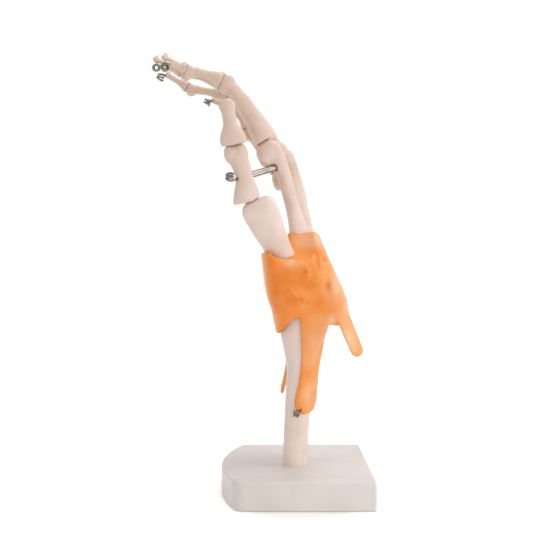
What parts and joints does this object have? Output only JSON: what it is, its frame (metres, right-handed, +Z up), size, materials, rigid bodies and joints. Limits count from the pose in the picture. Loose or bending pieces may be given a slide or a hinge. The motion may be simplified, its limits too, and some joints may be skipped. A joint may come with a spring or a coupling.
{
  "type": "hand skeleton model",
  "caption": "Life-size right hand and wrist bone model with wired finger joints and elastic wrist ligaments, standing upright on a plain base for teaching.",
  "frame": {"origin": "centre of the base's underside", "axes": "+Z up along the forearm; +X towards the back of the hand, -X towards the palm; -Y towards the thumb side"},
  "size_m": [0.1189, 0.11, 0.2373],
  "materials": {
    "base_plastic": "smooth white plastic, satin",
    "bone_plastic": "ivory plastic, satin, moulded bone surface",
    "ligament_rubber": "soft orange rubber, slightly see-through, satin",
    "steel_wire": "bare steel wire and tube"
  },
  "bodies": {
    "forearm": {"base": "base_plastic", "radius": "bone_plastic", "ulna": "bone_plastic", "palmar_ligament": "ligament_rubber", "dorsal_ligament": "ligament_rubber", "strap_wire": "steel_wire"},
    "hand": {"scaphoid_bone": "bone_plastic", "lunate_bone": "bone_plastic", "triquetrum_bone": "bone_plastic", "pisiform_bone": "bone_plastic", "trapezium_bone": "bone_plastic", "trapezoid_bone": "bone_plastic", "capitate_bone": "bone_plastic", "hamate_bone": "bone_plastic", "thumb_metacarpal": "bone_plastic", "index_metacarpal": "bone_plastic", "middle_metacarpal": "bone_plastic", "ring_metacarpal": "bone_plastic", "little_metacarpal": "bone_plastic", "thumb_proximal_phalanx": "bone_plastic", "metacarpal_wires": "steel_wire", "thumb_proximal_wire": "steel_wire", "thumb_stay_tube": "steel_wire", "thumb_stay_wire": "steel_wire"},
    "index_proximal": {"index_proximal_phalanx": "bone_plastic", "index_proximal_wire": "steel_wire"},
    "index_middle": {"index_middle_phalanx": "bone_plastic", "index_middle_wire": "steel_wire"},
    "index_distal": {"index_distal_phalanx": "bone_plastic", "index_tip_wire": "steel_wire"},
    "middle_proximal": {"middle_proximal_phalanx": "bone_plastic", "middle_proximal_wire": "steel_wire"},
    "middle_middle": {"middle_middle_phalanx": "bone_plastic", "middle_middle_wire": "steel_wire"},
    "middle_distal": {"middle_distal_phalanx": "bone_plastic", "middle_tip_wire": "steel_wire"},
    "ring_proximal": {"ring_proximal_phalanx": "bone_plastic", "ring_proximal_wire": "steel_wire"},
    "ring_middle": {"ring_middle_phalanx": "bone_plastic", "ring_middle_wire": "steel_wire"},
    "ring_distal": {"ring_distal_phalanx": "bone_plastic", "ring_tip_wire": "steel_wire"},
    "little_proximal": {"little_proximal_phalanx": "bone_plastic", "little_proximal_wire": "steel_wire"},
    "little_middle": {"little_middle_phalanx": "bone_plastic", "little_middle_wire": "steel_wire"},
    "little_distal": {"little_distal_phalanx": "bone_plastic", "little_tip_wire": "steel_wire"},
    "thumb_distal": {"thumb_distal_phalanx": "bone_plastic", "thumb_tip_wire": "steel_wire"}
  },
  "joints": [
    {"name": "wrist_flex", "type": "hinge", "parent": "forearm", "child": "hand", "pos_m": [0.007, 0, 0.108], "axis": [0, -1, 0], "range_deg": [-15, 15], "deforming": ["palmar_ligament", "dorsal_ligament"]},
    {"name": "index_knuckle", "type": "hinge", "parent": "hand", "child": "index_proximal", "pos_m": [-0.0137, -0.01858, 0.18277], "axis": [0, -0.9976, -0.0698], "range_deg": [-25, 40]},
    {"name": "index_mid_joint", "type": "hinge", "parent": "index_proximal", "child": "index_middle", "pos_m": [-0.03559, -0.02112, 0.21911], "axis": [0, -0.9976, -0.0698], "range_deg": [-35, 25]},
    {"name": "index_tip_joint", "type": "hinge", "parent": "index_middle", "child": "index_distal", "pos_m": [-0.05567, -0.02155, 0.22523], "axis": [0, -0.9976, -0.0698], "range_deg": [-10, 40]},
    {"name": "middle_knuckle", "type": "hinge", "parent": "hand", "child": "middle_proximal", "pos_m": [-0.01042, -0.0016, 0.18436], "axis": [0, -1, 0], "range_deg": [-25, 40]},
    {"name": "middle_mid_joint", "type": "hinge", "parent": "middle_proximal", "child": "middle_middle", "pos_m": [-0.03746, -0.0016, 0.22158], "axis": [0, -1, 0], "range_deg": [-35, 25]},
    {"name": "middle_tip_joint", "type": "hinge", "parent": "middle_middle", "child": "middle_distal", "pos_m": [-0.06005, -0.0016, 0.22806], "axis": [0, -1, 0], "range_deg": [-10, 40]},
    {"name": "ring_knuckle", "type": "hinge", "parent": "hand", "child": "ring_proximal", "pos_m": [-0.00732, 0.01473, 0.18233], "axis": [0, -0.9962, 0.0872], "range_deg": [-25, 40]},
    {"name": "ring_mid_joint", "type": "hinge", "parent": "ring_proximal", "child": "ring_middle", "pos_m": [-0.03471, 0.01785, 0.2179], "axis": [0, -0.9962, 0.0872], "range_deg": [-35, 25]},
    {"name": "ring_tip_joint", "type": "hinge", "parent": "ring_middle", "child": "ring_distal", "pos_m": [-0.05868, 0.01829, 0.22297], "axis": [0, -0.9962, 0.0872], "range_deg": [-5, 45]},
    {"name": "little_knuckle", "type": "hinge", "parent": "hand", "child": "little_proximal", "pos_m": [-0.00671, 0.02898, 0.17365], "axis": [0, -0.9848, 0.1736], "range_deg": [-25, 40]},
    {"name": "little_mid_joint", "type": "hinge", "parent": "little_proximal", "child": "little_middle", "pos_m": [-0.0261, 0.03361, 0.19994], "axis": [0, -0.9848, 0.1736], "range_deg": [-5, 40]},
    {"name": "little_tip_joint", "type": "hinge", "parent": "little_middle", "child": "little_distal", "pos_m": [-0.03486, 0.03614, 0.21429], "axis": [0, -0.9848, 0.1736], "range_deg": [-30, 20]},
    {"name": "thumb_tip_joint", "type": "hinge", "parent": "hand", "child": "thumb_distal", "pos_m": [-0.03101, -0.03284, 0.18056], "axis": [0.9781, -0.0109, 0.2076], "range_deg": [-40, 15]}
  ]
}
